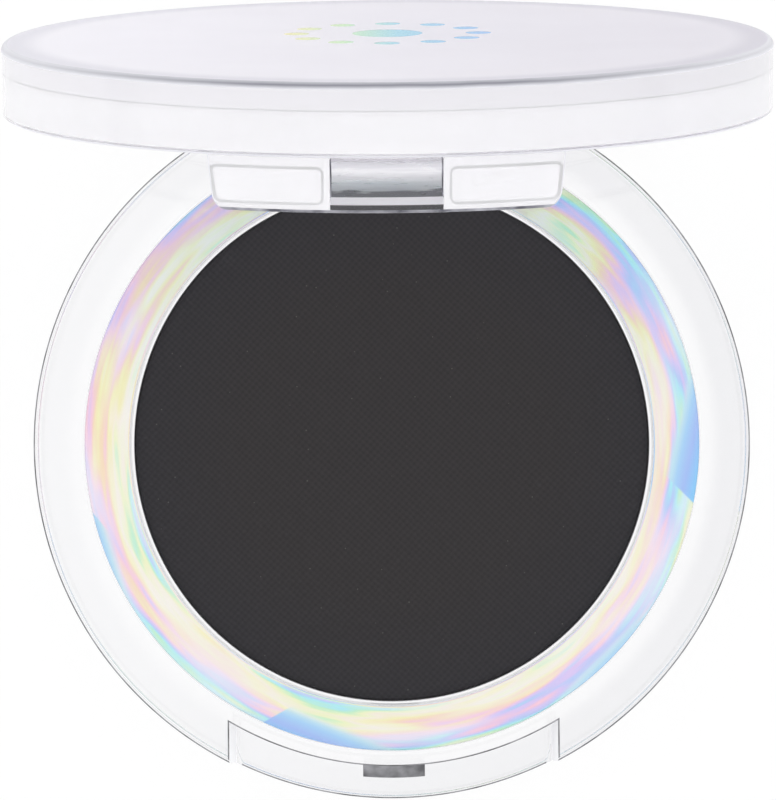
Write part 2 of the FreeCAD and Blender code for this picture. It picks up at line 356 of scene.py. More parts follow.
def finish_piece(holder, name, finishes, body, node, closed_lid=False):
    """Brings a scratch object drawn in millimetres to metres, and gives it its name, finish and place."""
    mesh = holder.data
    mesh.transform(Matrix.Scale(MM, 4))
    if closed_lid:
        about_hinge = Matrix.Translation(HINGE_POINT)
        mesh.transform(about_hinge @ CLOSING_TURN.inverted() @ about_hinge.inverted())
    mesh.shade_smooth()
    mesh.set_sharp_from_angle(angle=CRISP_ANGLE)
    # Flat faces stay flat to the eye right up to the small rounds beside them
    even_shading = holder.modifiers.new("even_shading", "WEIGHTED_NORMAL")
    even_shading.keep_sharp = True
    chosen = [face.material_index for face in mesh.polygons]
    mesh.materials.clear()
    for finish in finishes:
        mesh.materials.append(finish)
    for face, index in zip(mesh.polygons, chosen):
        face.material_index = min(index, len(finishes) - 1)
    holder.name = name
    mesh.name = name
    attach(holder, body)
    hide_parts(node)
    return holder


def dress(node, finish):
    """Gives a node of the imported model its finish."""
    piece = frame["nodes"][node]
    piece.data.materials.clear()
    piece.data.materials.append(finish)


def part_edges(holder, width, finish, chosen):
    """Breaks the chosen sharp edges with a narrow facet in its own finish."""
    weld = 0.002
    level = 1e-4
    shape = bmesh.new()
    shape.from_mesh(holder.data)
    bmesh.ops.remove_doubles(shape, verts=shape.verts, dist=weld)

    def is_sharp(edge):
        middle = (edge.verts[0].co + edge.verts[1].co) / 2
        return len(edge.link_faces) == 2 and edge.calc_face_angle() > CRISP_ANGLE and chosen(middle)

    # Level faces beside these edges are joined first, so that no seam lies in a facet's way
    beside = {face for edge in shape.edges if is_sharp(edge) for face in edge.link_faces}
    inner = [edge for edge in shape.edges if len(edge.link_faces) == 2 and beside & set(edge.link_faces)]
    seams = [edge for edge in inner if edge.calc_face_angle() < level]
    bmesh.ops.dissolve_edges(shape, edges=seams, use_verts=False)
    sharp = [edge for edge in shape.edges if is_sharp(edge)]
    facets = bmesh.ops.bevel(shape, geom=sharp, offset=width, segments=1, profile=0.5, affect="EDGES",
                             material=-1)
    for face in facets["faces"]:
        face.material_index = finish
    shape.to_mesh(holder.data)
    shape.free()


def tongue(at, half_width, low_z, high_z, corner_round):
    """The front outline shared by the tab and its notch: leaning sides and rounded lower corners."""
    slope = math.tan(at.tab_draft)
    low_half = half_width - (at.parting - low_z) * slope
    high_half = half_width + (high_z - at.parting) * slope
    return [
        (-low_half, low_z, corner_round),
        (low_half, low_z, corner_round),
        (high_half, high_z, 0),
        (-high_half, high_z, 0),
    ]


def notch_cutter(at):
    """The space the snap tab needs in the base."""
    corner_round = 0.4
    half_width = at.tab_half_width + at.notch_side_gap
    notch = front_prism(tongue(at, half_width, at.notch_floor, at.parting + REACH, corner_round))
    core = turned([
        (0, -REACH, 0),
        (at.notch_radius, -REACH, 0),
        (at.notch_radius, at.parting + 2 * REACH, 0),
        (0, at.parting + 2 * REACH, 0),
    ])
    return combine(notch, core, "DIFFERENCE")


def snap_bead(at):
    """The small bead on the notch wall that the tab's lip snaps under."""
    root = 0.5
    edge_round = 0.08
    bottom = at.lip_top + at.catch_gap
    bead = turned([
        (at.notch_radius - root, bottom, 0),
        (at.bead_radius, bottom, edge_round),
        (at.bead_radius, bottom + at.bead_face, edge_round),
        (at.notch_radius, bottom + at.bead_rise, 0),
        (at.notch_radius - root, bottom + at.bead_rise, 0),
    ], closed=True)
    return combine(bead, front_block(at.bead_half_width, 0, at.parting), "INTERSECT")


def knuckle(at, start_x, end_x, low_z, high_z, root_y):
    """A hinge knuckle and the web that joins it to the wall in front of it."""
    end_round = 0.2
    rod = hinge_rod(at.knuckle_radius, start_x, end_x, end_round)
    web = block((start_x, root_y, low_z), (end_x, HINGE_AXIS.y, high_z))
    return combine(rod, web, "UNION")


def clear_base_shape(at):
    """The clear base: pan well, label recess, front notch with its snap bead, and two hinge lugs."""
    inner_round = 0.1
    base = turned([
        (0, at.recess_z, 0),
        (at.recess_radius, at.recess_z, inner_round),
        (at.recess_radius, 0, at.foot_round),
        (at.case_radius, 0, at.base_edge_round),
        (at.case_radius, at.parting, at.rim_round),
        (at.well_radius, at.parting, at.well_round),
        (at.well_radius, at.well_floor, inner_round),
        (0, at.well_floor, 0),
    ])
    combine(base, notch_cutter(at), "DIFFERENCE")
    combine(base, snap_bead(at), "UNION")
    combine(base, hinge_rod(at.relief_radius, -at.lug_inner, at.lug_inner), "DIFFERENCE")
    # The web starts inside the wall and ends a hair below the top, so that no two faces coincide
    root_y = at.notch_radius + WEB_ROOT
    low_z = HINGE_AXIS.z - at.knuckle_radius + HAIR
    for side in (-1, 1):
        start_x, end_x = sorted((side * at.lug_inner, side * at.lug_outer))
        combine(base, knuckle(at, start_x, end_x, low_z, at.parting - HAIR, root_y), "UNION")
        start_x, end_x = sorted((side * PIN_LOW.x, side * (at.lug_outer + REACH)))
        combine(base, hinge_rod(at.pin_radius + at.pin_press_gap, start_x, end_x), "DIFFERENCE")
    return base


def tab_shape(at):
    """The snap tab: a curved tongue with a pocket and lip for the bead and a hollow on each side."""
    overlap = 0.4
    corner_round = 0.7
    tab = band(at.skirt_radius + HAIR, at.tab_radius, at.tab_bottom, at.skirt_z + overlap,
               at.tab_edge_round)
    outline = tongue(at, at.tab_half_width, at.tab_bottom, at.skirt_z + REACH, corner_round)
    combine(tab, front_prism(outline), "INTERSECT")
    inside = at.skirt_radius - REACH
    pocket = band(inside, at.bead_radius + at.bead_fit, at.lip_top, at.lip_top + at.pocket_height,
                  0, at.pocket_round)
    lip_radius = at.bead_radius - at.snap_bite
    lead = turned([
        (inside, at.tab_bottom - REACH, 0),
        (lip_radius, at.tab_bottom - REACH, 0),
        (lip_radius, at.tab_bottom + at.lip_shade, 0),
        (lip_radius, at.lip_top + HAIR, 0),
        (inside, at.lip_top + HAIR, 0),
    ], closed=True)
    for cutter in (pocket, lead):
        combine(cutter, front_block(at.pocket_half_width, -REACH, at.skirt_z + REACH), "INTERSECT")
        combine(tab, cutter, "DIFFERENCE")
    low_z = at.tab_bottom + at.window_frame
    high_z = low_z + at.window_height
    for side in (-1, 1):
        window = front_prism([
            (side * at.window_near_x, low_z, at.window_round),
            (side * at.window_low_x, low_z, at.window_round),
            (side * at.window_high_x, high_z, at.window_round),
            (side * at.window_near_x, high_z, at.window_round),
        ])
        combine(window, band(inside, at.window_radius, low_z - REACH, high_z + REACH), "INTERSECT")
        combine(tab, window, "DIFFERENCE")
    return tab


def rosette_dots():
    """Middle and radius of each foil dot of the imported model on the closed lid, in millimetres."""
    dots = bmesh.new()
    dots.from_mesh(frame["nodes"]["lid_rosette"].data)
    bmesh.ops.remove_doubles(dots, verts=dots.verts, dist=SAME_POINT * MM)
    about_hinge = Matrix.Translation(HINGE_POINT)
    dots.transform(Matrix.Scale(1 / MM, 4) @ about_hinge @ CLOSING_TURN @ about_hinge.inverted())
    places = []
    left = set(dots.verts)
    while left:
        island = [left.pop()]
        for vert in island:
            for edge in vert.link_edges:
                other = edge.other_vert(vert)
                if other in left:
                    left.remove(other)
                    island.append(other)
        low_x = min(vert.co.x for vert in island)
        high_x = max(vert.co.x for vert in island)
        middle_y = (min(vert.co.y for vert in island) + max(vert.co.y for vert in island)) / 2
        places.append(((low_x + high_x) / 2, middle_y, (high_x - low_x) / 2))
    dots.free()
    return sorted(places)


def round_plates(places, low_z, high_z, ease):
    """One scratch object with a round plate at each place, smaller than it by the ease."""
    shape = bmesh.new()
    for middle_x, middle_y, radius in places:
        plate = bmesh.ops.create_cone(shape, cap_ends=True, segments=ROD_STEPS, radius1=radius - ease,
                                      radius2=radius - ease, depth=high_z - low_z)
        bmesh.ops.translate(shape, vec=(middle_x, middle_y, (low_z + high_z) / 2), verts=plate["verts"])
    return scratch(shape)


def lid_shape(at):
    """The lid, closed: top plate, skirt, snap tab, middle hinge knuckle and shallow seats for the foil."""
    lid = turned([
        (0, at.lid_inner, 0),
        (at.skirt_radius, at.lid_inner, at.inner_round),
        (at.skirt_radius, at.skirt_z, 0),
        (at.case_radius, at.skirt_z, at.lower_round),
        (at.case_radius, at.lid_top, at.lid_edge_round),
        (0, at.lid_top, 0),
    ])
    combine(lid, tab_shape(at), "UNION")
    for side in (-1, 1):
        start_x, end_x = sorted((side * at.lid_half_knuckle, side * (at.lug_outer + at.knuckle_gap)))
        combine(lid, hinge_rod(at.relief_radius, start_x, end_x), "DIFFERENCE")
    # The web starts inside the skirt and ends a hair short, so that no two faces coincide
    root_y = at.skirt_radius + WEB_ROOT
    high_z = HINGE_AXIS.z + at.knuckle_radius - HAIR
    half = at.lid_half_knuckle
    combine(lid, knuckle(at, -half, half, at.skirt_z + HAIR, high_z, root_y), "UNION")
    pin_end_gap = 0.1
    core = PIN_LOW.x - pin_end_gap
    for side in (-1, 1):
        start_x, end_x = sorted((side * core, side * (half + REACH)))
        combine(lid, hinge_rod(at.pin_radius + at.pin_clearance, start_x, end_x), "DIFFERENCE")
    seats = round_plates(rosette_dots(), at.lid_top - at.rosette_recess, at.lid_top + REACH, 0)
    combine(lid, seats, "DIFFERENCE")
    return lid


def finish_base_faces(base, at):
    """Sorts the base's faces by finish: parted rim, notch edges and bead in grey painted shade, etched notch
    sides, else clear.
    """
    slack = 0.02
    steep = 0.85
    for face in base.data.polygons:
        place = face.center
        radius = math.hypot(place.x, place.y)
        on_rim = radius > at.case_radius - at.rim_round and place.z > at.parting - at.rim_round
        on_bead = place.y < 0 and abs(place.x) < at.bead_half_width + slack and place.z > at.lip_top + slack
        past_wall = at.notch_radius + slack < radius < at.bead_radius + slack
        in_notch = (place.y < 0 and radius > at.notch_radius
                    and at.notch_floor + slack < place.z < at.parting)
        # The rim's round and the bead take the parted finish: grey painted shade
        if (on_rim and slack < face.normal.z < steep) or (on_bead and past_wall):
            face.material_index = PARTED_SHADE
        elif in_notch and abs(face.normal.x) > steep and abs(place.x) > at.bead_half_width + slack:
            face.material_index = ETCHED

    def on_notch(place):
        radius = math.hypot(place.x, place.y)
        in_front = place.y < 0 and abs(place.x) < at.tab_half_width + 2 * at.notch_side_gap
        upper = abs(place.z - at.parting) < slack and radius < at.case_radius - at.rim_round - slack
        lower = abs(place.z - at.notch_floor) < slack and radius > at.case_radius - slack
        return in_front and radius > at.notch_radius - slack and (upper or lower)

    part_edges(base, at.edge_width, PARTED_SHADE, on_notch)


def finish_lid_faces(lid, at):
    """Sorts the lid's faces by finish: frosted top, milky wall, etched inside, satin pocket and edges with
    painted shade, and so on.
    """
    slack = 0.03
    level = 1 - slack / 9
    facing = -0.7
    steep = 0.6
    flat = 0.9
    pocket_radius = at.bead_radius + at.bead_fit
    for face in lid.data.polygons:
        place = face.center
        up = face.normal.z
        radius = math.hypot(place.x, place.y)
        outwards = (face.normal.x * place.x + face.normal.y * place.y) / max(radius, slack)
        in_cavity = radius < at.skirt_radius + slack and at.skirt_z + slack < place.z < at.lid_inner + slack
        in_corner = in_cavity and radius > at.skirt_radius - at.inner_round and -level < up < -flat
        on_top_edge = (radius > at.case_radius - at.lid_edge_round
                       and place.z > at.lid_top - at.lid_edge_round)
        on_wall = radius > at.case_radius - slack and at.skirt_z < place.z < at.lid_top
        on_low_edge = (radius > at.case_radius - at.lower_round
                       and abs(place.z - at.skirt_z) < at.lower_round)
        in_tab = place.z < at.skirt_z - slack and place.y < 0
        on_tab_face = in_tab and radius > at.tab_radius - slack and outwards > -facing
        beside_pocket = on_tab_face and abs(place.x) > at.pocket_half_width + at.window_rib / 2
        on_tab_edge = in_tab and radius > at.tab_radius - at.tab_edge_round and place.z < at.lip_top
        cut_out = at.skirt_radius + slack < radius < pocket_radius + slack
        in_pocket = in_tab and cut_out and abs(place.x) < at.pocket_half_width + slack
        on_lip = in_pocket and at.tab_bottom + at.lip_shade < place.z < at.lip_top - slack
        # The rolled and parted finishes paint grey lines of shade on edges; the satin one paints shade and a
        # highlight
        if place.z > at.lid_top - slack and up > level:
            face.material_index = FROSTED
        elif (on_top_edge and up > slack) or (on_low_edge and up < -steep):
            face.material_index = ROLLED_SHADE
        elif (on_wall or beside_pocket) and abs(up) < slack:
            face.material_index = MILKY
        elif in_corner or (on_tab_edge and -flat < up < -slack):
            face.material_index = PARTED_SHADE
        elif in_pocket and place.z > at.lip_top:
            face.material_index = SATIN
        elif in_cavity or on_lip or (in_tab and not in_pocket and outwards < facing):
            face.material_index = ETCHED

    def within_tab(place):
        return place.y < 0 and at.tab_bottom - slack < place.z < at.skirt_z - slack

    def on_window(place):
        radius = math.hypot(place.x, place.y)
        beside = abs(place.x) > at.pocket_half_width + slack
        return within_tab(place) and beside and abs(radius - at.window_radius) < slack

    def on_pocket(place):
        radius = math.hypot(place.x, place.y)
        beside = abs(abs(place.x) - at.pocket_half_width) < slack
        above_lip = place.z > at.lip_top - slack
        return within_tab(place) and beside and above_lip and radius > at.skirt_radius + slack

    def on_side(place):
        radius = math.hypot(place.x, place.y)
        return within_tab(place) and radius > at.tab_radius - slack and abs(place.x) > at.window_low_x

    part_edges(lid, at.window_edge_width, PARTED_SHADE, on_window)
    part_edges(lid, at.edge_width, PARTED_SHADE, on_pocket)
    part_edges(lid, at.edge_width, ROLLED_SHADE, on_side)


def pan_shape(at):
    """The drawn tin pan, open at the top, with a softly rounded rim."""
    bend = 0.6
    floor = 0.25
    rim_round = 0.1
    radius = PAN_HIGH.x
    return turned([
        (0, PAN_LOW.z, 0),
        (radius, PAN_LOW.z, bend),
        (radius, PAN_HIGH.z, rim_round),
        (radius - at.pan_wall, PAN_HIGH.z, rim_round),
        (radius - at.pan_wall, PAN_LOW.z + floor, bend - at.pan_wall),
        (0, PAN_LOW.z + floor, 0),
    ])


def cake_shape():
    """The pressed cake: level top, a pressed-down lip along the pan and a soft shoulder."""
    lip_width = 0.22
    lip_drop = 0.1
    shoulder = 0.12
    radius = POWDER_HIGH.x
    top = POWDER_HIGH.z
    return turned([
        (0, POWDER_LOW.z, 0),
        (radius, POWDER_LOW.z, shoulder),
        (radius, top - lip_drop, shoulder / 2),
        (radius - lip_width, top, shoulder),
        (radius / 2, top, 0),
        (0, top, 0),
    ])


def film_shape(at):
    """The card disc with its foil face, edges softened by the die; it fills its recess but for a hair."""
    die_round = 0.05
    radius = at.recess_radius - at.hair_gap
    return turned([
        (0, FILM_LOW.z, 0),
        (radius, FILM_LOW.z, die_round),
        (radius, FILM_HIGH.z, die_round),
        (PAN_HIGH.x, FILM_HIGH.z, 0),
        (0, FILM_HIGH.z, 0),
    ])


def add(tree, kind, inputs=None, stops=(), **settings):
    """Adds one shader node with its settings.

    Inputs gives a socket its value, or the node or output that feeds it; stops gives a ramp its colours.
    """
    node = tree.nodes.new(kind)
    for name, value in settings.items():
        setattr(node, name, value)
    for socket, value in (inputs or {}).items():
        if isinstance(value, bpy.types.Node):
            value = next(output for output in value.outputs if output.enabled)
        if isinstance(value, bpy.types.NodeSocket):
            tree.links.new(value, node.inputs[socket])
        else:
            node.inputs[socket].default_value = value
    while stops and len(node.color_ramp.elements) < len(stops):
        node.color_ramp.elements.new(1.0)
    for index, (position, shade) in enumerate(stops):
        element = node.color_ramp.elements[index]
        element.position = position
        element.color = linear(shade) if isinstance(shade, str) else tuple(shade)
    return node


def start_material(name):
    """An empty material and its node tree."""
    material = bpy.data.materials.new(name)
    material.use_nodes = True
    material.node_tree.nodes.clear()
    return material, material.node_tree


def in_mm(tree, turn=0.0, flat=False):
    """Object coordinates in millimetres, turned about Z; flat leaves out the height."""
    height = 0 if flat else 1 / MM
    return add(tree, "ShaderNodeMapping", {
        "Vector": add(tree, "ShaderNodeTexCoord").outputs["Object"],
        "Rotation": (0, 0, turn),
        "Scale": (1 / MM, 1 / MM, height),
    })


def in_closed_mm(tree):
    """Object coordinates in millimetres as they lie when the lid is closed."""
    back = CLOSING_TURN.to_3x3()
    return add(tree, "ShaderNodeMapping", {
        "Vector": add(tree, "ShaderNodeTexCoord").outputs["Object"],
        "Location": HINGE_AXIS - back @ HINGE_AXIS,
        "Rotation": back.to_euler(),
        "Scale": (1 / MM, 1 / MM, 1 / MM),
    })


# Clear styrene moulded against polished steel: sharp refraction, glassy edges and faint flow marks; a tint
# of painted shade greys it towards the outer wall and to the right, and less clear styrene is milky
def polished_clear_styrene(place_name, clearness, clear_tint, painted_shade_tint=None):
    material, tree = start_material("polished_clear_styrene_" + place_name)
    colour = clear_tint
    if painted_shade_tint is not None:
        # Painted shade: greyer towards the outer wall and towards the right, where less light falls
        reach = BASE_HIGH.x
        flat = in_mm(tree, flat=True)
        radius = add(tree, "ShaderNodeVectorMath", {0: flat}, operation="LENGTH")
        outwards = add(tree, "ShaderNodeMapRange", {
            "Value": radius, "From Min": 0.88 * reach, "From Max": 0.93 * reach},
            interpolation_type="SMOOTHSTEP")
        split = add(tree, "ShaderNodeSeparateXYZ", {0: flat})
        aside = add(tree, "ShaderNodeMapRange", {
            "Value": split.outputs["X"], "From Min": -0.7 * reach, "From Max": 0.9 * reach,
            "To Min": 0.4, "To Max": 1.0})
        depth = add(tree, "ShaderNodeMath", {0: outwards, 1: aside}, operation="MULTIPLY")
        colour = add(tree, "ShaderNodeMix", {"Factor": depth, "A": clear_tint, "B": painted_shade_tint},
                     data_type="RGBA")
    flow_size = 4.0
    flow = add(tree, "ShaderNodeTexNoise", {"Vector": in_mm(tree), "Scale": 1 / flow_size, "Detail": 2.0})
    gloss = add(tree, "ShaderNodeMapRange", {
        "Value": flow, "From Min": 0.4, "From Max": 0.75, "To Min": 0.0, "To Max": 0.03})
    shader = add(tree, "ShaderNodeBsdfPrincipled", {
        "Base Color": colour, "Roughness": gloss, "IOR": STYRENE_IOR, "Transmission Weight": clearness})
    add(tree, "ShaderNodeOutputMaterial", {"Surface": shader})
    return material


# Styrene edge left where the mould parts: a matt hairline, painted grey to stand for shade along the edge,
# that comes and goes
def parted_shade_styrene(place_name, dark, light):
    material, tree = start_material("parted_shade_styrene_" + place_name)
    stretch_size = 1.1
    change = add(tree, "ShaderNodeTexNoise", {
        "Vector": in_mm(tree), "Scale": 1 / stretch_size, "Detail": 3.0})
    grey = add(tree, "ShaderNodeValToRGB", {"Fac": change}, stops=[(0.35, dark), (0.65, light)])
    gloss = add(tree, "ShaderNodeMapRange", {"Value": change, "To Min": 0.45, "To Max": 0.65})
    shader = add(tree, "ShaderNodeBsdfPrincipled", {"Base Color": grey, "Roughness": gloss})
    add(tree, "ShaderNodeOutputMaterial", {"Surface": shader})
    return material


# Styrene moulded against etched steel: white scatter, a share of it through the wall, with a fine grain;
# painted shade darkens it towards the right, and a rim tint of painted shade greys the face over the solid
# wall
def etched_shaded_styrene(place_name, share, dark, light, painted_rim_shade=None):
    material, tree = start_material("etched_shaded_styrene_" + place_name)
    place = in_mm(tree)
    grain_size = 0.12
    grain = add(tree, "ShaderNodeTexNoise", {"Vector": place, "Scale": 1 / grain_size, "Detail": 3.0})
    bump = add(tree, "ShaderNodeBump", {"Height": grain, "Strength": 0.25, "Distance": 0.02 * MM})
    # Cloudy tones, with painted shade that makes them a little darker towards the right
    cloud_size = 6.0
    lean = 40.0
    cloud = add(tree, "ShaderNodeTexNoise", {"Vector": place, "Scale": 1 / cloud_size, "Detail": 2.0})
    split = add(tree, "ShaderNodeSeparateXYZ", {0: place})
    aside = add(tree, "ShaderNodeMath", {0: split.outputs["X"], 1: lean}, operation="DIVIDE")
    soft = add(tree, "ShaderNodeMapRange", {"Value": cloud, "To Min": 0.3, "To Max": 0.7})
    tone = add(tree, "ShaderNodeMath", {0: soft, 1: aside}, operation="ADD")
    colour = add(tree, "ShaderNodeValToRGB", {"Fac": tone}, stops=[(0.1, light), (0.9, dark)])
    # Painted shade: the lid's face turns greyer towards its rim, where it bends away
    if painted_rim_shade is not None:
        reach = BASE_HIGH.x
        flat = add(tree, "ShaderNodeVectorMath", {0: in_closed_mm(tree), 1: (1, 1, 0)}, operation="MULTIPLY")
        radius = add(tree, "ShaderNodeVectorMath", {0: flat}, operation="LENGTH")
        rim_shade_share = add(tree, "ShaderNodeMapRange", {
            "Value": radius, "From Min": 0.88 * reach, "From Max": 0.96 * reach},
            interpolation_type="SMOOTHSTEP")
        colour = add(tree, "ShaderNodeMix", {"Factor": rim_shade_share, "A": colour, "B": linear(painted_rim_shade)},
                     data_type="RGBA", blend_type="MULTIPLY")
    shader = add(tree, "ShaderNodeBsdfPrincipled", {
        "Base Color": colour, "Roughness": 0.8, "Specular IOR Level": 0.0, "Normal": bump})
    through = add(tree, "ShaderNodeBsdfTranslucent", {"Color": colour})
    mixed = add(tree, "ShaderNodeMixShader", {0: share, 1: shader, 2: through})
    add(tree, "ShaderNodeOutputMaterial", {"Surface": mixed})
    return material


# Styrene rolled over the lid's edges: the wall hides behind itself there, and a soft grey line of painted
# shade stands for it
def rolled_shade_styrene(at):
    material, tree = start_material("rolled_shade_styrene")
    closed = in_closed_mm(tree)
    split = add(tree, "ShaderNodeSeparateXYZ", {0: closed})
    waver_size = 2.5
    change = add(tree, "ShaderNodeTexNoise", {"Vector": closed, "Scale": 1 / waver_size, "Detail": 3.0})
    waver = add(tree, "ShaderNodeMapRange", {"Value": change, "To Min": -0.15, "To Max": 0.15})
    rise = add(tree, "ShaderNodeMapRange", {
        "Value": split.outputs["Z"], "From Min": at.lid_top - at.lid_edge_round, "From Max": at.lid_top})
    level = add(tree, "ShaderNodeMath", {0: rise, 1: waver}, operation="ADD")
    # Painted shade: lightest at the foot of the round, darkest near its top
    grey = add(tree, "ShaderNodeValToRGB", {"Fac": level}, stops=[
        (0.0, "DEDEE4"),
        (0.3, "B6B6BE"),
        (0.6, "84848D"),
        (1.0, "B8B8C0"),
    ])
    # The line fades towards the lid's sides
    aside = add(tree, "ShaderNodeMath", {0: split.outputs["X"]}, operation="ABSOLUTE")
    fade = add(tree, "ShaderNodeMapRange", {
        "Value": aside, "From Min": 0.3 * at.case_radius, "From Max": at.case_radius,
        "To Min": 0.0, "To Max": 0.7})
    faded = add(tree, "ShaderNodeMix", {"Factor": fade, "A": grey, "B": linear("E8E8ED")}, data_type="RGBA")
    shader = add(tree, "ShaderNodeBsdfPrincipled", {
        "Base Color": faded, "Roughness": 0.5, "Specular IOR Level": 0.2})
    add(tree, "ShaderNodeOutputMaterial", {"Surface": shader})
    return material


# Styrene drawn off a blasted slide: light comes through it; painted shade darkens it towards the lip, with a
# painted highlight partway up
def satin_shaded_styrene(at):
    material, tree = start_material("satin_shaded_styrene")
    closed = in_closed_mm(tree)
    split = add(tree, "ShaderNodeSeparateXYZ", {0: closed})
    # Drag marks run across the pocket
    mark_length = 2.5
    mark_width = 0.12
    stretch = add(tree, "ShaderNodeMapping", {
        "Vector": closed, "Scale": (1 / mark_length, 1 / mark_width, 1 / mark_width)})
    marks = add(tree, "ShaderNodeTexNoise", {"Vector": stretch, "Scale": 1.0, "Detail": 3.0})
    waver = add(tree, "ShaderNodeMapRange", {"Value": marks, "To Min": -0.12, "To Max": 0.12})
    rise = add(tree, "ShaderNodeMapRange", {
        "Value": split.outputs["Z"], "From Min": at.lip_top, "From Max": at.lip_top + at.pocket_height})
    level = add(tree, "ShaderNodeMath", {0: rise, 1: waver}, operation="ADD")
    # Painted shade, darkest at the lip, and a painted highlight line partway up the pocket
    painted_shade_and_highlight = add(tree, "ShaderNodeValToRGB", {"Fac": level}, stops=[
        (0.13, "2C2B35"),
        (0.18, "9C9BA4"),
        (0.45, "C6C5CD"),
        (0.6, "F6F6F9"),
        (0.68, "CFCED6"),
        (1.0, "BDBCC4"),
    ])
    gloss = add(tree, "ShaderNodeMapRange", {"Value": marks, "To Min": 0.2, "To Max": 0.4})
    shader = add(tree, "ShaderNodeBsdfPrincipled", {
        "Base Color": painted_shade_and_highlight, "Roughness": gloss, "IOR": STYRENE_IOR, "Transmission Weight": 1.0})
    add(tree, "ShaderNodeOutputMaterial", {"Surface": shader})
    return material


# Creases of the foil that catch the light as flat blue patches: direction and distance from the middle, in
# degrees and millimetres, of the crease line and of the line where the patch ends
CREASES = (
    (-12.2, 14.47, 45.0, 8.84),
    (-112.5, 14.83, -61.0, 9.41),
    (-163.0, 15.60, -140.3, 14.3),
    (-45.0, 15.62, 10.0, 5.48),
)
PATCH_COLOURS = ((0.0, "D5F3F4"), (0.3, "A9D8FB"), (0.6, "A6C3FA"), (1.0, "86D2FF"))

# The foil's run of interference colours, from one order to the next
FOIL_COLOURS = (
    (0.00, "FFF5DE"), (0.12, "FDF6AE"), (0.24, "FFDDB4"), (0.36, "FFC7DF"), (0.47, "DCC4FA"),
    (0.58, "ACCBFC"), (0.68, "9DF0FA"), (0.78, "BCF5C4"), (0.88, "F6FBBE"), (1.00, "FFF5DE"),
)


